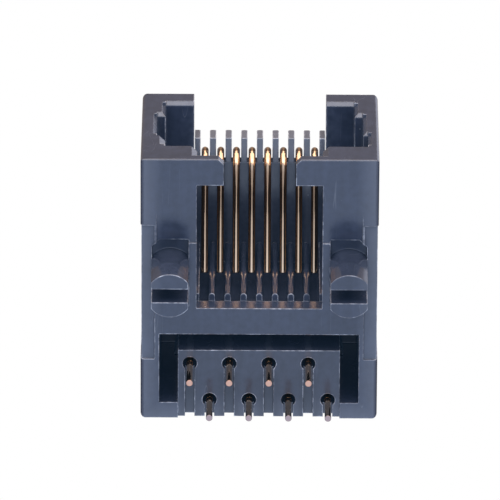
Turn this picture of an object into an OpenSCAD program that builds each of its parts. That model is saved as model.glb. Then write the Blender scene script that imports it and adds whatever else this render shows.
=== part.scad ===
// Eight-way modular board jack: a side-entry plug socket with its latch towards the board.
// The board surface is Z = 0 and the plug enters along +Y.
// The origin lies on the board, midway between the two split pegs.
// "Depth" below is measured back from the mouth, and "height" up from the board.

/* [Housing] */
// Width across the front collar
body_w = 15.24; // [15.2:0.02:16.2]
// Length from the mouth to the rear face
body_l = 18.05; // [17.9:0.05:19.5]
// Height above the board
body_h = 11.05; // [10.8:0.05:12]
// Radius of the outer corners
corner_r = 0.3; // [0.1:0.05:0.5]
// Thickness of the roof
roof_t = 1.45; // [1.2:0.05:1.6]
// Length of the front collar
collar_l = 4.6; // [3:0.1:5]
// Depth of the relief in each side behind the collar
side_step = 0.06; // [0.03:0.01:0.2]
// Break along the lower front edge
edge_break = 0.08; // [0.04:0.01:0.15]

/* [Plug mouth] */
// Width of the plug bay
bay_w = 12.2; // [11.9:0.05:12.4]
// Depth of the plug bay, from the mouth to the comb
bay_l = 9.82; // [9.4:0.02:10]
// Height of the bay floor
floor_h = 2.56; // [2.2:0.02:2.8]
// Lead-in around the bay
lead_in = 0.25; // [0.1:0.05:0.4]
// Depth of the relief groove in each side wall
groove_depth = 0.52; // [0.3:0.02:0.6]
// Drop from the roof to the top of both relief grooves
groove_drop = 1.9; // [1.4:0.05:2.4]
// Height of the step left below the left groove
groove_step = 1.75; // [1:0.05:2.4]
// Extra depth of the keying slot in the right wall
key_depth = 0.3; // [0.1:0.02:0.34]
// Height of the keying slot
key_h = 2.05; // [1:0.05:2.4]

/* [Latch] */
// Width of the latch bay and of the window behind it
latch_w = 8.06; // [7.6:0.02:8.6]
// Thickness of the front lip that the latch passes
lip_t = 1.8; // [1.4:0.05:2.2]
// Thickness of the catch plate under the latch
plate_t = 0.65; // [0.5:0.05:0.8]
// Width of the notch through the catch plate
notch_w = 4.62; // [4:0.02:5.2]
// Lead-in at the lip and at the notch
latch_lead = 0.34; // [0.1:0.02:0.44]
// Rounding of the inner corners of the shelf and of the left step
shelf_r = 0.46; // [0.45:0.01:0.6]

/* [Comb] */
// Depth of the slots that hold the free ends
comb_l = 1.4; // [1:0.05:1.5]
// Wall behind the comb
comb_wall = 0.95; // [0.8:0.05:1.1]
// Thickness of the bar below the comb
bar_t = 1.2; // [1:0.05:1.4]
// Distance of the bar behind the comb's face
bar_inset = 0.53; // [0.3:0.01:0.8]

/* [Board pegs] */
// Distance of the pegs behind the mouth
peg_setback = 7.9; // [7.8:0.05:8.1]
// Spacing of the two pegs
peg_spacing = 11.43; // [11.3:0.01:11.6]
// Diameter of the shank
peg_d = 3; // [2.8:0.02:3.1]
// Diameter of the barb below the board
barb_d = 3.2; // [3.1:0.02:3.3]
// Diameter at the tip
tip_d = 2.96; // [2.6:0.02:3]
// Width over the flat sides
peg_flat = 2.36; // [2.2:0.02:2.5]
// Length below the board
peg_l = 3.68; // [3.2:0.02:4]
// Depth of the barb's widest point below the board
barb_drop = 2.05; // [1.8:0.05:2.4]
// Width of the slot that splits the peg
peg_slot_w = 0.93; // [0.7:0.01:1.1]
// Height of the pocket that lets the legs flex
pocket_h = 0.62; // [0.4:0.02:0.8]
// Length of the pocket
pocket_l = 4.6; // [4.2:0.02:4.9]
// Cut across the front outer corner of each pocket
pocket_cut = 0.5; // [0.2:0.05:0.8]

/* [Contacts] */
// Diameter of the contact wire
wire_d = 0.45; // [0.4:0.01:0.48]
// Pitch of the contacts in the bay
contact_pitch = 1.016; // [1.01:0.002:1.03]
// Pitch of the solder tails
tail_pitch = 1.27; // [1.25:0.01:1.29]
// Distance of the front row of tails behind the pegs
row_setback = 6.35; // [6.2:0.05:6.5]
// Distance between the two rows of tails
row_gap = 2.54; // [2.4:0.02:2.6]
// Diameter of the tails below the board
tail_d = 0.42; // [0.38:0.01:0.45]
// Length of the neck in the insert, where the wire narrows to the tail
neck_l = 0.65; // [0.55:0.05:1.2]
// Length of the tails below the board
tail_l = 3.05; // [2.8:0.05:4]
// How much shorter the rear row's tails are
rear_trim = 0.2; // [0:0.05:0.4]
// Bend radius of the wire at the nose, on its centre line
nose_r = 1.15; // [0.9:0.05:1.3]
// Fall of the free leg
leg_angle = 29; // [25:1:33]
// Reach of the free end into the comb
leg_reach = 0.3; // [0.1:0.02:0.5]

/* [Contact insert] */
// Depth of the tooth tips behind the mouth
tooth_front = 2.5; // [2.2:0.05:2.8]
// Length of the open slots between the teeth
tooth_l = 1.68; // [1.4:0.02:1.9]
// Distance of the wire bends behind the tooth tips
bend_inset = 0.72; // [0.4:0.02:0.8]
// Rounding of the upper edges of the teeth
tooth_r = 0.13; // [0.05:0.01:0.16]
// Width of the outermost teeth
end_tooth = 0.36; // [0.3:0.01:0.45]
// Bore of the tail holes
hole_d = 0.93; // [0.8:0.01:0.95]
// Wall beside the outermost tail holes
side_wall = 0.3; // [0.25:0.01:0.4]
// Wall ahead of the front row of tail holes
front_wall = 0.48; // [0.3:0.02:0.55]
// Width of the recess on each side of the foot
recess_w = 1.16; // [0.9:0.02:1.2]
// Thickness of the returns that hold the foot at the rear
return_t = 1.08; // [0.9:0.02:1.2]
// Height of the run-out grooves under the foot
runout_h = 0.57; // [0.4:0.01:0.7]
// Distance that each snap stands out from the foot
snap_out = 0.3; // [0.2:0.05:0.6]

/* [Fits] */
// Clearance on each side of the insert in the housing
insert_fit = 0.05; // [0.03:0.01:0.08]
// Clearance on each side of a wire in its slot
wire_play = 0.08; // [0.04:0.005:0.1]
// Gap between a wire and the surface that it lies along
wire_gap = 0.02; // [0.01:0.005:0.04]

/* [Hidden] */
ways = 8;
$fn = 48;

// How far a cut runs past the surface that it opens
over = 1;
// How far joined shapes run into each other
weld = 0.2;
// How far a bend stands out from the straight lengths that it joins, and their lap inside it
bead = 0.005;
lap = 0.05;
plastic = "#23262d";
gold = "#c8a052";

roof_h = body_h - roof_t;
bar_front = bay_l + bar_inset;
comb_back = bay_l + comb_l;
chamber_front = comb_back + comb_wall;
groove_top = roof_h - groove_drop;

slot_w = wire_d + 2 * wire_play;
rib_w = contact_pitch - slot_w;
comb_w = (ways - 1) * contact_pitch + slot_w;
tongue_w = comb_w + 2 * end_tooth;
insert_w = (ways - 1) * tail_pitch + hole_d + 2 * side_wall;
insert_top = body_h - insert_fit;
insert_rear = body_l - 2 * insert_fit;
foot_w = insert_w + 2 * insert_fit;
shelf_front = bay_l + 2 * insert_fit;
web_front = tooth_front + tooth_l;
front_row = peg_setback + row_setback;
foot_front = front_row - hole_d / 2 - front_wall;
return_front = body_l - return_t;

// Wires lie flush in grooves along the top of the insert
wire_h = insert_top - wire_gap - wire_d / 2;
wire_drop = wire_d / 2 + wire_gap;
tail_bend_r = hole_d / 2 + 2 * wire_gap;
fan_bend_r = 2;
nose_depth = tooth_front + bend_inset + nose_r + wire_d / 2;
// Underside of the nose bend where it passes the front of the web
nose_inner_r = nose_r - wire_d / 2 - bead;
nose_under = wire_h - nose_r + sqrt(pow(nose_inner_r, 2) - pow(nose_depth - web_front, 2));
fan_front = bay_l - wire_d / 2;
fan_rear = front_row - tail_bend_r - wire_d / 2;

// Shallow moulded steps on the underside
band_in = 0.9;
band_rise = 0.15;
relief_rear = bay_l + 4.1;
ramp_l = 2.1;
ramp_rise = 0.14;

// Snaps on the sides of the foot
snap_drop = 0.4;
snap_h = 1.6;
snap_l = 1.3;

function contact_x(i) = (i - (ways + 1) / 2) * contact_pitch;
function tail_x(i) = (i - (ways + 1) / 2) * tail_pitch;
function tail_depth(i) = front_row + (i % 2 == 0 ? row_gap : 0);

// Sets a piece that is drawn by its depth behind the mouth into the board's frame
module from_mouth() {
    translate([0, -peg_setback, 0]) children();
}

// Extrudes a section drawn across and up, from one depth to another
module along_depth(d0, d1) {
    translate([0, d1, 0])
        rotate([90, 0, 0])
            linear_extrude(d1 - d0) children();
}

// Extrudes a section drawn back and up, across from x0 to x1
module across(x0, x1) {
    translate([x0, 0, 0])
        rotate([90, 0, 90])
            linear_extrude(x1 - x0) children();
}

// Box from its ranges across, back and up
module span(x, y, z) {
    translate([x[0], y[0], z[0]])
        cube([x[1] - x[0], y[1] - y[0], z[1] - z[0]]);
}

// Box that is centred across, w wide
module slab(w, y, z) {
    span([-w / 2, w / 2], y, z);
}

module on_both_sides() {
    children();
    mirror([1, 0, 0]) children();
}

// Rectangle with round corners, from (x0, y0)
module rounded_rect(x0, y0, w, h, r) {
    translate([x0 + r, y0]) square([w - 2 * r, h]);
    translate([x0, y0 + r]) square([w, h - 2 * r]);
    for (x = [x0 + r, x0 + w - r], y = [y0 + r, y0 + h - r])
        translate([x, y]) circle(r);
}

// Block with its corners rounded in plan and in front view
module rounded_block(w, l) {
    intersection() {
        linear_extrude(body_h) rounded_rect(-w / 2, 0, w, l, corner_r);
        along_depth(0, l) rounded_rect(-w / 2, 0, w, body_h, corner_r);
    }
}

// Lead-in on the side wall at x, which opens away from the middle
module wall_lead(x, z0, z1, c) {
    s = sign(x);
    translate([0, 0, z0])
        linear_extrude(z1 - z0)
            polygon([[x - s * over, -over], [x - s * over, c], [x, c], [x + s * (c + over), -over]]);
}

// Lead-in on the top edge at height z, which opens upwards
module top_lead(x0, x1, z, c) {
    across(x0, x1)
        polygon([[-over, z - c], [c, z - c], [c, z], [-over, z + c + over]]);
}

// Lead-in on the front edge of a shelf at height z, which opens downwards
module shelf_lead(x0, x1, z, c) {
    across(x0, x1)
        polygon([[-over, z - c - over], [c, z], [c, z + weld], [-over, z + weld]]);
}

// Rounds the edge between the wall at x and the shelf that it carries at height z, with its lead-in
module corner_lead(x, z, c) {
    mirror([x < 0 ? 1 : 0, 0, 0])
        translate([abs(x) + shelf_r, 0, z - shelf_r])
            difference() {
                span([-shelf_r - weld, 0], [-over, bay_l], [0, shelf_r + weld]);
                rotate([-90, 0, 0]) {
                    translate([0, 0, -lap]) cylinder(r1 = shelf_r - c - lap, r2 = shelf_r, h = c + lap);
                    translate([0, 0, c]) cylinder(r = shelf_r, h = bay_l);
                }
            }
}

/* ---- Housing ---- */

module plug_bay() {
    half = bay_w / 2;
    key_x = half + groove_depth + key_depth;
    slab(bay_w, [-over, bay_l], [floor_h, roof_h]);
    span([-half - groove_depth, 0], [-over, bay_l], [floor_h + groove_step, groove_top]);
    span([0, half + groove_depth], [-over, bay_l], [floor_h, groove_top]);
    span([0, key_x], [-over, bay_l], [floor_h, floor_h + key_h]);
}

module bay_leads() {
    half = bay_w / 2;
    groove_x = half + groove_depth;
    key_x = groove_x + key_depth;
    key_top = floor_h + key_h;
    top_lead(-half, half, roof_h, lead_in);
    on_both_sides() {
        wall_lead(half, groove_top, roof_h, lead_in);
        top_lead(half - weld, groove_x, groove_top, lead_in);
    }
    wall_lead(-groove_x, floor_h + groove_step, groove_top, lead_in);
    wall_lead(-half, floor_h, floor_h + groove_step - shelf_r, latch_lead);
    corner_lead(-half, floor_h + groove_step, latch_lead);
    shelf_lead(-groove_x, -half - shelf_r, floor_h + groove_step, latch_lead);
    wall_lead(groove_x, key_top, groove_top, lead_in);
    top_lead(groove_x - weld, key_x, key_top, lead_in);
    wall_lead(key_x, floor_h, key_top, lead_in);
}

module latch_bay() {
    slab(latch_w, [-over, lip_t + over], [plate_t, floor_h + weld]);
    slab(notch_w, [-over, lip_t + over], [-over, plate_t + weld]);
    slab(latch_w, [lip_t, bay_l], [-over, floor_h + weld]);
    slab(latch_w, [lip_t, bar_front], [-over, bar_t]);
    shelf_lead(-bay_w / 2, -latch_w / 2 - shelf_r, floor_h, latch_lead);
    shelf_lead(latch_w / 2 + shelf_r, bay_w / 2 + groove_depth + key_depth, floor_h, latch_lead);
    on_both_sides() {
        wall_lead(latch_w / 2, plate_t, floor_h - shelf_r, latch_lead);
        corner_lead(latch_w / 2, floor_h, latch_lead);
        wall_lead(notch_w / 2, -over, plate_t, latch_lead);
    }
}

module comb_pocket() {
    slab(comb_w, [bay_l - over, comb_back], [bar_t, roof_h]);
}

// Ribs with round fronts that keep the free ends apart
module comb_ribs() {
    translate([0, 0, bar_t])
        linear_extrude(roof_h - bar_t)
            for (i = [1:ways - 1]) {
                x = contact_x(i) + contact_pitch / 2;
                translate([x, bay_l + rib_w / 2]) circle(d = rib_w);
                translate([x - rib_w / 2, bay_l + rib_w / 2]) square([rib_w, comb_l]);
            }
}

module roof_gap() {
    slab(tongue_w + 2 * insert_fit, [-over, shelf_front], [roof_h, body_h + over]);
    slab(foot_w, [bay_l + insert_fit, body_l + over], [roof_h, body_h + over]);
}

module insert_chamber() {
    slab(foot_w + 2 * recess_w, [chamber_front, return_front], [-over, roof_h]);
    slab(foot_w, [chamber_front, return_front], [-over, roof_h + weld]);
    slab(insert_w, [return_front - weld, body_l + over], [-over, roof_h + weld]);
}

// Split peg with flat sides and a barb that catches under the board
module peg() {
    top = pocket_h + weld;
    intersection() {
        rotate_extrude()
            polygon([
                [0, top],
                [peg_d / 2, top],
                [peg_d / 2, -(barb_drop - (barb_d - peg_d) * 2)],
                [barb_d / 2, -barb_drop],
                [tip_d / 2, -peg_l],
                [0, -peg_l]
            ]);
        difference() {
            slab(peg_flat, [-barb_d, barb_d], [-peg_l - over, top]);
            slab(peg_flat + over, [-peg_slot_w / 2, peg_slot_w / 2], [-peg_l - over, pocket_h / 2]);
        }
    }
}

// Pocket around a peg, with its front corner cut off on the side away from the middle
module peg_pocket() {
    half_w = peg_flat / 2;
    half_l = pocket_l / 2;
    translate([0, 0, -over])
        linear_extrude(pocket_h + over)
            polygon([
                [-half_w, -half_l],
                [half_w - pocket_cut, -half_l],
                [half_w, pocket_cut - half_l],
                [half_w, half_l],
                [-half_w, half_l]
            ]);
}

// Sloping relief in the underside that runs back into the pocket
module pocket_ramp() {
    rear = peg_setback - pocket_l / 2 + weld;
    across(latch_w / 2 - weld, (peg_spacing + peg_flat) / 2 - corner_r)
        polygon([[rear - ramp_l, 0], [rear, ramp_rise], [rear, -over], [rear - ramp_l, -over]]);
}

// Shallow relief in each side behind the collar, and in the underside along it
module side_relief() {
    span([body_w / 2 - side_step, body_w], [collar_l, relief_rear], [-over, body_h + over]);
    span([body_w / 2 - band_in, body_w], [collar_l, relief_rear], [-over, band_rise]);
}

module front_edge_break() {
    across(-body_w, body_w)
        polygon([[-over, -over], [edge_break + over, -over], [-over, edge_break + over]]);
}

module housing() {
    color(plastic) from_mouth() {
        difference() {
            rounded_block(body_w, body_l);
            plug_bay();
            bay_leads();
            latch_bay();
            comb_pocket();
            roof_gap();
            insert_chamber();
            front_edge_break();
            on_both_sides() {
                translate([peg_spacing / 2, peg_setback, 0]) peg_pocket();
                pocket_ramp();
                side_relief();
            }
        }
        comb_ribs();
        on_both_sides()
            translate([peg_spacing / 2, peg_setback, 0]) peg();
    }
}

/* ---- Wire runs, shared by the contacts and by their grooves ---- */

// Sweeps a section, drawn across and up from the wire's axis, along the top of the insert:
// straight at the contact pitch, slanting to the tail pitch, then straight again.
// The first child is the section of the straight lengths, and the second that of the bends.
module top_run(i, start) {
    shift = tail_x(i) - contact_x(i);
    fan_l = fan_rear - fan_front;
    turn = atan2(abs(shift), fan_l);
    tangent = fan_bend_r * tan(turn / 2);
    translate([contact_x(i), 0, wire_h])
        mirror([shift < 0 ? 1 : 0, 0, 0]) {
            along_depth(start, fan_front - tangent / 2) children(0);
            translate([0, fan_front, 0]) {
                translate([fan_bend_r, -tangent, 0]) plan_bend(180 - turn, turn) children(1);
                rotate([0, 0, -turn])
                    along_depth(tangent / 2, norm([shift, fan_l]) - tangent / 2) children(0);
            }
            translate([abs(shift), fan_rear, 0]) {
                translate([-fan_bend_r, tangent, 0]) plan_bend(-turn, turn) children(1);
                along_depth(-tangent / 2, tail_depth(i) - tail_bend_r + lap - fan_rear) children(0);
            }
        }
}

// Level bend of a section about its own centre, from the angle a0 on
module plan_bend(a0, turn) {
    rotate([0, 0, a0])
        rotate_extrude(angle = turn) translate([fan_bend_r, 0]) children();
}

/* ---- Contact insert ---- */

module insert_solid() {
    slab(tongue_w, [tooth_front, shelf_front + weld], [roof_h, insert_top]);
    slab(insert_w, [shelf_front, insert_rear], [roof_h, insert_top]);
    slab(insert_w, [foot_front, insert_rear], [insert_fit, roof_h + weld]);
    on_both_sides() insert_snap();
}

// Wedge that snaps out ahead of the return, under the roof
module insert_snap() {
    rear = return_front - insert_fit;
    translate([0, 0, roof_h - snap_drop - snap_h])
        linear_extrude(snap_h)
            polygon([
                [insert_w / 2 - weld, rear - snap_l],
                [insert_w / 2, rear - snap_l],
                [insert_w / 2 + snap_out, rear],
                [insert_w / 2 - weld, rear]
            ]);
}

// Section of a wire's groove, open at the top
module groove_section(w) {
    translate([-w / 2, -wire_drop]) square([w, wire_drop + over]);
}

module wire_groove(i) {
    top_run(i, tooth_front - over) {
        groove_section(slot_w);
        groove_section(slot_w + 2 * bead);
    }
    // The floor drops ahead of the run, clear of the nose bend
    span(
        [contact_x(i) - slot_w / 2, contact_x(i) + slot_w / 2],
        [web_front - weld, nose_depth],
        [nose_under - wire_gap, body_h + over]
    );
    // The groove's last stretch runs into the tail hole
    span(
        [tail_x(i) - slot_w / 2, tail_x(i) + slot_w / 2],
        [tail_depth(i) - tail_bend_r, tail_depth(i)],
        [wire_h - wire_drop, body_h + over]
    );
}

// Section of a slot between two teeth, whose upper edges it rounds
module slot_section() {
    mouth_w = slot_w / 2 + tooth_r;
    translate([-slot_w / 2, roof_h - over]) square([slot_w, body_h - roof_h + 2 * over]);
    difference() {
        translate([-mouth_w, insert_top - tooth_r]) square([2 * mouth_w, tooth_r + over]);
        for (x = [-mouth_w, mouth_w])
            translate([x, insert_top - tooth_r]) circle(r = tooth_r);
    }
}

module tooth_slot(i) {
    translate([contact_x(i), 0, 0]) along_depth(tooth_front - over, web_front) slot_section();
}

module tail_hole(i) {
    translate([tail_x(i), tail_depth(i), -over]) cylinder(d = hole_d, h = body_h + 2 * over);
    span(
        [tail_x(i) - slot_w / 2, tail_x(i) + slot_w / 2],
        [tail_depth(i), body_l + over],
        [-over, runout_h]
    );
}

module contact_insert() {
    color(plastic) from_mouth()
        difference() {
            insert_solid();
            for (i = [1:ways]) {
                wire_groove(i);
                tooth_slot(i);
                tail_hole(i);
            }
        }
}

/* ---- Contacts ---- */

module wire_section(d) {
    circle(d = d);
}

// Bend about a line across the jack, from angle a0 to a1, where 0 points back and 90 up
module wire_bend(r, a0, a1) {
    rotate([90, 0, 90])
        rotate([0, 0, a0])
            rotate_extrude(angle = a1 - a0) translate([r, 0]) wire_section(wire_d + 2 * bead);
}

// One wire: free leg, nose bend, run along the insert, bend down and solder tail
module contact(i) {
    leg_depth = nose_depth - nose_r * sin(leg_angle);
    leg_h = wire_h - nose_r * (1 + cos(leg_angle));
    leg_l = (bay_l + leg_reach - leg_depth) / cos(leg_angle);
    bend_h = wire_h - tail_bend_r;
    reach = tail_l - (i % 2 == 0 ? rear_trim : 0);
    color(gold) from_mouth() {
        translate([contact_x(i), leg_depth, leg_h])
            rotate([-90 - leg_angle, 0, 0])
                translate([0, 0, -lap]) cylinder(d = wire_d, h = lap + leg_l);
        translate([contact_x(i), nose_depth, wire_h - nose_r])
            wire_bend(nose_r, 90, 270 - leg_angle);
        top_run(i, nose_depth - lap) {
            wire_section(wire_d);
            wire_section(wire_d + 2 * bead);
        }
        translate([tail_x(i), tail_depth(i), 0]) {
            translate([0, -tail_bend_r, bend_h]) wire_bend(tail_bend_r, 0, 90);
            translate([0, 0, neck_l - lap]) cylinder(d = wire_d, h = bend_h - neck_l + 2 * lap);
            cylinder(d1 = tail_d + bead, d2 = wire_d + 2 * bead, h = neck_l);
            translate([0, 0, -reach]) cylinder(d = tail_d, h = reach + lap);
        }
    }
}

housing();
contact_insert();
for (i = [1:ways]) contact(i);
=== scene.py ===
import math

import bpy
from bpy.props import FloatProperty, FloatVectorProperty, PointerProperty
from mathutils import Matrix, Vector


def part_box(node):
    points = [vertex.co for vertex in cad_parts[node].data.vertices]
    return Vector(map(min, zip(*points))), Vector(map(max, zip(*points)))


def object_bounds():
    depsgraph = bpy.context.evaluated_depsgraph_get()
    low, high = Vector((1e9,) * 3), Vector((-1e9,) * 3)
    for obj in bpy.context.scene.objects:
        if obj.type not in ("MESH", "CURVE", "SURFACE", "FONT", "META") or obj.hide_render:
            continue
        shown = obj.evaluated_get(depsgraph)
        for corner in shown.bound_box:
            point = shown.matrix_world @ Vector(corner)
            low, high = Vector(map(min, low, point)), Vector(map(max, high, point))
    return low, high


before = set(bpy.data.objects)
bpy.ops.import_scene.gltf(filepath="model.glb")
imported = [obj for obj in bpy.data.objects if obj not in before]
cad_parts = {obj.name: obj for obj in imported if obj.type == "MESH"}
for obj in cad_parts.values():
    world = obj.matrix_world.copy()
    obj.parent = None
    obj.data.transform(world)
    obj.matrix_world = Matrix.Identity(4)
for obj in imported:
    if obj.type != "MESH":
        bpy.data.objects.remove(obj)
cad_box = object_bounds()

bl_info = {
    "name": "Modular Board Jack",
    "version": (1, 0, 0),
    "blender": (4, 5, 0),
    "location": "3D View > Sidebar > Board Jack",
    "description": "Dresses an eight-way board jack and sets up its studio",
    "category": "Object",
}

MM = 0.001
CONTACTS = ["contact_%d" % i for i in range(1, 9)]

# Where the insert's front row of holes and the back of its teeth lie
HOLE_PITCH = 2.54 * MM
FRONT_HOLE_X = 4.445 * MM
FRONT_HOLE_Y = 6.35 * MM
TEETH_BACK_Y = -3.72 * MM

# Heights on a wire at which the painted dark reflection on its free leg begins, is full, starts to
# fade and ends
DARK_REFLECTION_HEIGHTS = (5.0 * MM, 7.6 * MM, 8.2 * MM, 8.6 * MM)
# Colour of the painted dark reflection on the free leg
DARK_REFLECTION_PAINT = "6a4a34"
# A wire shows its core this far up from the end of its tail
CUT_HEIGHT = 0.01 * MM

# Radii that edges are rounded by in the shading, and how far in from an edge the rubbing and
# painted highlight reach
MOULD_ROUNDING = 0.11 * MM
WIRE_ROUNDING = 0.05 * MM
RUB_AND_HIGHLIGHT_REACH = 0.09 * MM
# Rays that the edge nodes send out
EDGE_SAMPLES = 8

# The paler colour that flow brings out in a moulding, as a factor on its colour
FLOW_FACTOR = 1.7
# The insert's roughness as a factor on the housing's
INSERT_ROUGHNESS = 0.8
# Colour of the painted shadows that the front row's tails cast in bands behind their holes
PIN_SHADOW_PAINT = "0c1018"
# The photograph's light tent veils the dark recesses, which a faint emission stands for
VEIL = "1c2e40"
VEIL_STRENGTH = 0.22

# Each lamp's name, place, size, power in watts and colour. All of them face the origin
LAMPS = (
    ("front", (0.02, -0.37, -0.16), (0.14, 0.10), 0.12, "e4ecff"),
    ("fill", (0.03, -0.375, 0.02), (0.9, 0.62), 3.4, "ffeee2"),
    ("top", (0.16, 0.0, 0.37), (0.16, 0.16), 0.08, "dfe8ff"),
)
# Width of the camera's sensor, in millimetres as Blender takes it
SENSOR_WIDTH = 36
FLOOR_RADIUS = 0.3
FLOOR_DROP = 0.01 * MM
# Distances from the middle of the floor at which it starts to fade to white, and is white
FLOOR_FADE = (8 * MM, 45 * MM)
WHITE = "ffffff"


def rgb(code):
    """Turns an sRGB hex colour into linear red, green, blue and alpha."""
    parts = [int(code[i : i + 2], 16) / 255 for i in (0, 2, 4)]
    return [c / 12.92 if c <= 0.04045 else ((c + 0.055) / 1.055) ** 2.4 for c in parts] + [1.0]


def lighter(colour, factor):
    """The same colour, brighter by the factor."""
    return [c * factor for c in colour[:3]] + [1.0]


def add(tree, kind, links=None, **settings):
    """Adds one shader node. Links map an input to a value, or to the output of another node."""
    node = tree.nodes.new(kind)
    for name, value in settings.items():
        setattr(node, name, value)
    for socket, value in (links or {}).items():
        if isinstance(value, bpy.types.NodeSocket):
            tree.links.new(value, node.inputs[socket])
        else:
            node.inputs[socket].default_value = value
    return node


def new_material(name):
    """A material and its node tree, which is empty."""
    material = bpy.data.materials.new(name)
    material.use_nodes = True
    material.node_tree.nodes.clear()
    return material, material.node_tree


# Materials


def mixed(tree, factor, low, high):
    """One colour to the other, by the factor."""
    links = {"Factor": factor, "A": low, "B": high}
    return add(tree, "ShaderNodeMix", links, data_type="RGBA").outputs["Result"]


def math_node(tree, operation, *values):
    """A sum or other operation on values."""
    links = dict(enumerate(values))
    return add(tree, "ShaderNodeMath", links, operation=operation).outputs["Value"]


def times(tree, first, second):
    return math_node(tree, "MULTIPLY", first, second)


def greater(tree, first, second):
    return math_node(tree, "MAXIMUM", first, second)


def separate(tree, vector):
    """The X, Y and Z of a vector."""
    return add(tree, "ShaderNodeSeparateXYZ", {"Vector": vector}).outputs


def object_place(tree):
    """An object's own coordinates in metres, which for a carried-over solid are the part's."""
    return add(tree, "ShaderNodeTexCoord").outputs["Object"]


def noise(tree, place, size, detail=2.0):
    """Soft noise whose features are about this size."""
    links = {"Vector": place, "Scale": 1 / size, "Detail": detail}
    return add(tree, "ShaderNodeTexNoise", links).outputs["Fac"]


def stretched(tree, place, turn, factors):
    """Coordinates turned and stretched, for marks that run one way."""
    links = {"Vector": place, "Rotation": turn, "Scale": factors}
    return add(tree, "ShaderNodeMapping", links).outputs["Vector"]


def ramp(tree, value, low, high, to_low=0.0, to_high=1.0):
    """Maps low..high onto to_low..to_high and clamps."""
    links = {"Value": value, "From Min": low, "From Max": high, "To Min": to_low, "To Max": to_high}
    return add(tree, "ShaderNodeMapRange", links).outputs["Result"]


def outer_edge(tree, reach):
    """1 on outward corners and 0 elsewhere, found by how soon a ray inside the piece leaves it."""
    inside = add(tree, "ShaderNodeAmbientOcclusion", {"Distance": reach}, samples=EDGE_SAMPLES,
                 inside=True, only_local=True)
    return math_node(tree, "SUBTRACT", 1.0, inside.outputs["AO"])


def relief(tree, height, strength, depth, rounding):
    """The normal of a face with rounded edges and a fine bump."""
    edge = add(tree, "ShaderNodeBevel", {"Radius": rounding}, samples=EDGE_SAMPLES)
    links = {"Height": height, "Strength": strength, "Distance": depth,
             "Normal": edge.outputs["Normal"]}
    return add(tree, "ShaderNodeBump", links).outputs["Normal"]


def insert_painted_light(tree, spot, tone, wear_and_highlight):
    """The insert's painted light: painted shadows of the front row's tails in bands behind their
    holes, painted reflections of those tails in pale trails from the holes to the front edge, and
    teeth painted paler where more light falls on them."""
    across = math_node(tree, "ADD", spot["X"], FRONT_HOLE_X)
    aside = math_node(tree, "PINGPONG", across, HOLE_PITCH / 2)
    # Painted shadow: a darker band behind each front-row hole, where its tail's shadow falls
    behind = ramp(tree, spot["Y"], FRONT_HOLE_Y + 0.4 * MM, FRONT_HOLE_Y + 0.8 * MM)
    painted_pin_shadow = times(tree, ramp(tree, aside, 0.5 * MM, 0.8 * MM, 0.3, 0.0), behind)
    # Painted reflection: a pale trail ahead of each front-row hole, where its tail is reflected
    ahead = ramp(tree, spot["Y"], FRONT_HOLE_Y - 0.4 * MM, FRONT_HOLE_Y - 0.2 * MM, 1.0, 0.0)
    painted_pin_reflection = times(tree, ramp(tree, aside, 0.1 * MM, 0.3 * MM, 0.05, 0.0), ahead)
    # Painted highlight: the teeth are made paler where more light falls on them
    painted_lit_teeth = ramp(tree, spot["Y"], TEETH_BACK_Y - 0.1 * MM, TEETH_BACK_Y + 0.1 * MM, 0.16, 0.0)
    tone = mixed(tree, painted_pin_shadow, tone, rgb(PIN_SHADOW_PAINT))
    return mixed(tree, greater(tree, painted_pin_reflection, painted_lit_teeth), tone, wear_and_highlight)


def flow_tone(tree, place, mottle, base, high):
    """From the base colour to the higher one, in bands and streaks of the flow and in mottling."""
    bands = ramp(tree, noise(tree, place, 3.5 * MM, 3.0), 0.35, 0.65, 0.0, 0.4)
    streaks = noise(tree, stretched(tree, place, (0, 0, 0.12), (1.0, 0.12, 0.3)), 0.5 * MM)
    blend = math_node(tree, "ADD", bands, ramp(tree, streaks, 0.4, 0.6, 0.0, 0.2))
    blend = math_node(tree, "ADD", blend, ramp(tree, mottle, 0.35, 0.65, 0.0, 0.4))
    return mixed(tree, blend, base, high)


def paler_sides_and_rear(tree, spot, tone, wear_and_highlight):
    """Outer sides and the rear made a little paler, on the faces that look down."""
    sides = ramp(tree, math_node(tree, "ABSOLUTE", spot["X"]), 6.2 * MM, 7.7 * MM)
    rear = ramp(tree, spot["Y"], 8.6 * MM, 10.2 * MM)
    facing = separate(tree, add(tree, "ShaderNodeNewGeometry").outputs["Normal"])["Z"]
    below = ramp(tree, facing, -0.9, -0.5, 0.12, 0.0)
    return mixed(tree, times(tree, greater(tree, sides, rear), below), tone, wear_and_highlight)


def hairlines(tree, place):
    """Hairline scuffs: level lines of a stretched noise, where a second noise lets them."""
    line = noise(tree, stretched(tree, place, (0.3, 0.2, 0.9), (1.0, 0.08, 0.5)), 0.9 * MM, 0.0)
    line = math_node(tree, "ABSOLUTE", math_node(tree, "SUBTRACT", line, 0.5))
    patches = ramp(tree, noise(tree, place, 2.2 * MM, 0.0), 0.58, 0.66)
    return times(tree, ramp(tree, line, 0.0, 0.004, 1.0, 0.0), patches)


def dust(tree, place):
    """A speck of dust in a few of a Voronoi pattern's cells."""
    cells = add(tree, "ShaderNodeTexVoronoi", {"Vector": place, "Scale": 1 / (1.1 * MM)})
    chosen = ramp(tree, separate(tree, cells.outputs["Color"])["X"], 0.62, 0.63)
    return times(tree, ramp(tree, cells.outputs["Distance"], 0.02, 0.045, 1.0, 0.0), chosen)


def edge_wear_and_highlight(tree, place):
    """Outward edges made pale, partly by rubbing and partly as a painted highlight where rounded
    edges catch the light, more in some places than in others.
    """
    edges = ramp(tree, outer_edge(tree, RUB_AND_HIGHLIGHT_REACH), 0.16, 0.36)
    fine = ramp(tree, noise(tree, place, 0.35 * MM, 3.0), 0.42, 0.6, 0.3, 1.0)
    broad = ramp(tree, noise(tree, place, 2.4 * MM, 1.0), 0.42, 0.58, 0.4, 1.0)
    return times(tree, times(tree, edges, fine), broad)


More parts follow.
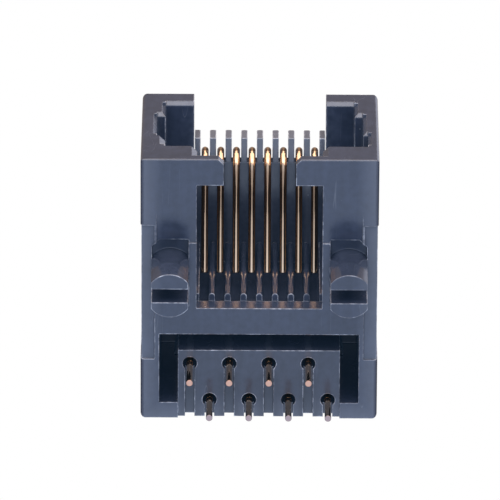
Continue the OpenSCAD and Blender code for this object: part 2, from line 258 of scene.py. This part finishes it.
def moulded_plastic(name, base, high, wear_and_highlight, rough, own_painted_light=None):
    """Glass-filled polyester, injection moulded: dark, satin gloss, with mould grain, rounded edges
    made pale by rubbing and by a painted highlight, hairline scuffs, streaks of flow and a little
    dust."""
    material, tree = new_material(name)
    place = object_place(tree)
    spot = separate(tree, place)
    mottle = noise(tree, place, 0.45 * MM, 4.0)
    tone = flow_tone(tree, place, mottle, base, high)
    tone = paler_sides_and_rear(tree, spot, tone, wear_and_highlight)
    # A moulding's own painted light, such as the insert's painted shadows, reflections and paler
    # teeth
    if own_painted_light:
        tone = own_painted_light(tree, spot, tone, wear_and_highlight)

    scuffs = times(tree, hairlines(tree, place), 0.10)
    marks_and_highlights = greater(tree, scuffs, times(tree, dust(tree, place), 0.7))
    # Edges made pale by rubbing and by a painted highlight
    marks_and_highlights = greater(tree, marks_and_highlights, edge_wear_and_highlight(tree, place))
    waves = times(tree, noise(tree, place, 1.2 * MM, 1.0), 3.0)
    grain = math_node(tree, "ADD", noise(tree, place, 0.09 * MM), waves)
    skin = add(tree, "ShaderNodeBsdfPrincipled", {
        "Base Color": mixed(tree, marks_and_highlights, tone, wear_and_highlight),
        "IOR": 1.6,
        "Roughness": ramp(tree, mottle, 0.3, 0.7, rough - 0.03, rough + 0.09),
        "Emission Color": rgb(VEIL),
        "Emission Strength": VEIL_STRENGTH,
        "Normal": relief(tree, grain, 0.14, 0.02 * MM, MOULD_ROUNDING),
    })
    add(tree, "ShaderNodeOutputMaterial", {"Surface": skin.outputs["BSDF"]})
    return material


def plated_wire(name, plating, end, tip):
    """Hard-drawn phosphor bronze wire, gold plated: bright metal with fine drawing lines, and the
    dull colour of the core where it was cut off."""
    material, tree = new_material(name)
    place = object_place(tree)
    height = separate(tree, place)["Z"]
    cut = math_node(tree, "LESS_THAN", height, tip)
    stain = times(tree, ramp(tree, noise(tree, place, 0.4 * MM, 3.0), 0.35, 0.7), 0.25)
    tone = mixed(tree, greater(tree, cut, stain), plating, end)
    # Painted dark reflection: the upper part of the free leg, behind the nose, is painted darker
    # where it reflects dark surroundings
    begins, full, fades, ends = DARK_REFLECTION_HEIGHTS
    painted_dark_reflection = times(tree, ramp(tree, height, begins, full), ramp(tree, height, fades, ends, 1.0, 0.0))
    tone = mixed(tree, times(tree, painted_dark_reflection, 0.6), tone, rgb(DARK_REFLECTION_PAINT))
    gloss = ramp(tree, noise(tree, place, 0.25 * MM), 0.3, 0.7, 0.08, 0.16)
    drawn = noise(tree, stretched(tree, place, (0, 0, 0), (1.0, 0.08, 0.08)), 0.05 * MM)
    skin = add(tree, "ShaderNodeBsdfPrincipled", {
        "Base Color": tone,
        "Metallic": 1.0,
        "Roughness": math_node(tree, "ADD", gloss, times(tree, cut, 0.25)),
        "Normal": relief(tree, drawn, 0.08, 0.01 * MM, WIRE_ROUNDING),
    })
    add(tree, "ShaderNodeOutputMaterial", {"Surface": skin.outputs["BSDF"]})
    return material


def dress(node, material):
    """Gives a carried-over solid its material."""
    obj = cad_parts[node]
    obj.data.materials.clear()
    obj.data.materials.append(material)


# Sizes and colours


class JackLooks(bpy.types.PropertyGroup):
    roughness: FloatProperty(
        name="Roughness", description="Roughness of the housing; the insert's is a little less",
        default=0.14, min=0, max=1)
    housing: FloatVectorProperty(
        name="Housing", description="Colour of the housing",
        default=rgb("2a303f"), size=4, min=0, max=1, subtype="COLOR")
    insert: FloatVectorProperty(
        name="Insert", description="Colour of the contact insert",
        default=rgb("2b303d"), size=4, min=0, max=1, subtype="COLOR")
    # Also the colour of painted edge highlights and of the insert's painted reflections and paler
    # teeth
    wear_and_highlight: FloatVectorProperty(
        name="Wear", description="Colour of rubbed edges and dust",
        default=rgb("ccd0da"), size=4, min=0, max=1, subtype="COLOR")
    plating: FloatVectorProperty(
        name="Plating", description="Colour of the plated wire",
        default=rgb("e8c6a2"), size=4, min=0, max=1, subtype="COLOR")
    front_ends: FloatVectorProperty(
        name="Front tail ends", description="Colour where the front row was cut",
        default=rgb("d8a890"), size=4, min=0, max=1, subtype="COLOR")
    rear_ends: FloatVectorProperty(
        name="Rear tail ends", description="Colour where the rear row was cut",
        default=rgb("b09a96"), size=4, min=0, max=1, subtype="COLOR")


class JackStage(bpy.types.PropertyGroup):
    distance: FloatProperty(
        name="Camera distance", description="From the lens to the part",
        default=0.545, unit="LENGTH")
    tilt: FloatProperty(
        name="Camera tilt", description="Turn of the view off the underside's normal",
        default=math.radians(23.25), subtype="ANGLE", unit="ROTATION")
    roll: FloatProperty(
        name="Camera roll", description="Turn of the picture",
        default=math.radians(0.30), subtype="ANGLE", unit="ROTATION")
    width: FloatProperty(
        name="View width", description="Width that the picture spans at the part",
        default=0.03199, unit="LENGTH")
    target: FloatVectorProperty(
        name="View centre", description="Point that the camera looks at",
        default=(-0.00061, -0.00164, 0.0), size=3, subtype="XYZ", unit="LENGTH")


class JACK_OT_housing(bpy.types.Operator):
    """Dress the housing in moulded plastic"""

    bl_idname = "jack.housing"
    bl_label = "Housing"

    def execute(self, context):
        looks = context.scene.jack_looks
        dress("housing", moulded_plastic(
            "moulded polyester housing", looks.housing, lighter(looks.housing, FLOW_FACTOR),
            looks.wear_and_highlight, looks.roughness))
        return {"FINISHED"}


class JACK_OT_insert(bpy.types.Operator):
    """Dress the contact insert in moulded plastic"""

    bl_idname = "jack.insert"
    bl_label = "Contact insert"

    def execute(self, context):
        looks = context.scene.jack_looks
        # The insert also gets painted shadows, painted reflections and teeth painted paler
        dress("contact_insert", moulded_plastic(
            "moulded polyester insert", looks.insert, lighter(looks.insert, FLOW_FACTOR),
            looks.wear_and_highlight, looks.roughness * INSERT_ROUGHNESS, insert_painted_light))
        return {"FINISHED"}


class JACK_OT_contacts(bpy.types.Operator):
    """Dress the eight formed wires, by the row that their tails stand in"""

    bl_idname = "jack.contacts"
    bl_label = "Contacts"

    def execute(self, context):
        looks = context.scene.jack_looks
        for row, first, end in (("front", 0, looks.front_ends), ("rear", 1, looks.rear_ends)):
            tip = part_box(CONTACTS[first])[0][2] + CUT_HEIGHT
            wire = plated_wire("gold-plated bronze wire %s" % row, looks.plating, end, tip)
            for node in CONTACTS[first::2]:
                dress(node, wire)
        return {"FINISHED"}


class JACK_OT_stage(bpy.types.Operator):
    """Set the floor, the lights and the camera"""

    bl_idname = "jack.stage"
    bl_label = "Studio"

    def execute(self, context):
        self.sky(context)
        self.lamps()
        self.floor()
        self.camera(context)
        context.scene.view_settings.view_transform = "Standard"
        return {"FINISHED"}

    def sky(self, context):
        """White where the camera looks past the part, and a light tent around it: bright below,
        dimmer above and to the sides."""
        world = bpy.data.worlds.new("studio")
        context.scene.world = world
        world.use_nodes = True
        tree = world.node_tree
        tree.nodes.clear()
        way = separate(tree, add(tree, "ShaderNodeTexCoord").outputs["Generated"])
        links = {"Value": way["Z"], "From Min": -0.9, "From Max": 0.6}
        rise = add(tree, "ShaderNodeMapRange", links, interpolation_type="SMOOTHSTEP")
        rise = rise.outputs["Result"]
        tone = mixed(tree, rise, rgb("d4e4ff"), rgb("ffe8da"))
        front = ramp(tree, math_node(tree, "ABSOLUTE", way["X"]), 0.35, 0.7, 1.0, 0.3)
        level = times(tree, ramp(tree, rise, 0, 1, 1.42, 0.36), front)
        tent = add(tree, "ShaderNodeBackground", {"Color": tone, "Strength": level})
        plain = add(tree, "ShaderNodeBackground", {"Color": rgb(WHITE), "Strength": 1.0})
        rays = add(tree, "ShaderNodeLightPath").outputs
        seen = greater(tree, rays["Is Camera Ray"], rays["Is Transmission Ray"])
        both = add(tree, "ShaderNodeMixShader", {"Fac": seen, 1: tent.outputs["Background"],
                                                 2: plain.outputs["Background"]})
        add(tree, "ShaderNodeOutputWorld", {"Surface": both.outputs["Shader"]})

    def lamps(self):
        """A small bright panel and a wide soft one in front of the mouth, and one above at the
        right."""
        for name, spot, size, watts, tint in LAMPS:
            bpy.ops.object.light_add(type="AREA", location=spot)
            lamp = bpy.context.object
            lamp.name = name
            lamp.data.shape = "RECTANGLE"
            lamp.data.size, lamp.data.size_y = size
            lamp.data.energy = watts
            lamp.data.color = rgb(tint)[:3]
            lamp.rotation_euler = (-Vector(spot)).to_track_quat("-Z", "Y").to_euler()

    def floor(self):
        """A pale floor under the pegs, seen only from above: it fades to white and casts nothing
        on the part."""
        bpy.ops.mesh.primitive_circle_add(vertices=96, radius=FLOOR_RADIUS, fill_type="NGON",
                                          location=(0, 0, cad_box[0][2] - FLOOR_DROP))
        floor = bpy.context.object
        floor.name = "floor"
        for ray in ("diffuse", "glossy", "transmission", "shadow"):
            setattr(floor, "visible_" + ray, False)
        floor.data.materials.append(self.paper())

    def paper(self):
        """Matt white paper, lifted by a little emission to stay pale under the soft light."""
        material, tree = new_material("matt white paper")
        place = object_place(tree)
        fibre = ramp(tree, noise(tree, place, 0.6 * MM), 0.3, 0.7, 0.86, 0.90)
        matt = add(tree, "ShaderNodeBsdfDiffuse", {"Color": fibre})
        lift = add(tree, "ShaderNodeEmission", {"Color": rgb(WHITE), "Strength": 0.45})
        near = add(tree, "ShaderNodeAddShader",
                   {0: matt.outputs["BSDF"], 1: lift.outputs["Emission"]})
        white = add(tree, "ShaderNodeEmission", {"Color": rgb(WHITE), "Strength": 1.0})
        away = add(tree, "ShaderNodeVectorMath", {0: place}, operation="LENGTH").outputs["Value"]
        fade = add(tree, "ShaderNodeMixShader",
                   {"Fac": ramp(tree, away, *FLOOR_FADE), 1: near.outputs["Shader"],
                    2: white.outputs["Emission"]})
        under = add(tree, "ShaderNodeNewGeometry").outputs["Backfacing"]
        clear = add(tree, "ShaderNodeBsdfTransparent")
        sided = add(tree, "ShaderNodeMixShader", {"Fac": under, 1: fade.outputs["Shader"],
                                                  2: clear.outputs["BSDF"]})
        add(tree, "ShaderNodeOutputMaterial", {"Surface": sided.outputs["Shader"]})
        return material

    def camera(self, context):
        """The photograph's view: from below and in front."""
        stage = context.scene.jack_stage
        back = Vector((0, -math.sin(stage.tilt), -math.cos(stage.tilt)))
        up = Vector((0, -math.cos(stage.tilt), math.sin(stage.tilt)))
        side = up.cross(back)
        turn = Matrix.Rotation(stage.roll, 3, back)
        bpy.ops.object.camera_add()
        camera = context.object
        camera.name = "camera"
        camera.matrix_world = Matrix((turn @ side, turn @ up, back)).transposed().to_4x4()
        camera.location = Vector(stage.target) + back * stage.distance
        camera.data.sensor_width = SENSOR_WIDTH
        camera.data.lens = SENSOR_WIDTH * stage.distance / stage.width
        camera.data.clip_start = 0.01
        camera.data.clip_end = 10
        context.scene.camera = camera


class JACK_PT_panel(bpy.types.Panel):
    bl_label = "Board jack"
    bl_idname = "JACK_PT_panel"
    bl_space_type = "VIEW_3D"
    bl_region_type = "UI"
    bl_category = "Board Jack"

    def draw(self, context):
        for step in STEPS:
            self.layout.operator("jack." + step)
        for name in ("roughness", "housing", "insert", "wear_and_highlight", "plating", "front_ends",
                     "rear_ends"):
            self.layout.prop(context.scene.jack_looks, name)
        for name in ("distance", "tilt", "roll", "width", "target"):
            self.layout.prop(context.scene.jack_stage, name)


STEPS = ["housing", "insert", "contacts", "stage"]
CLASSES = [JackLooks, JackStage, JACK_OT_housing, JACK_OT_insert, JACK_OT_contacts, JACK_OT_stage,
           JACK_PT_panel]


def register():
    for cls in CLASSES:
        bpy.utils.register_class(cls)
    bpy.types.Scene.jack_looks = PointerProperty(type=JackLooks)
    bpy.types.Scene.jack_stage = PointerProperty(type=JackStage)


def unregister():
    del bpy.types.Scene.jack_stage
    del bpy.types.Scene.jack_looks
    for cls in reversed(CLASSES):
        bpy.utils.unregister_class(cls)


def main():
    register()
    for step in STEPS:
        getattr(bpy.ops.jack, step)()


if __name__ == "__main__":
    main()
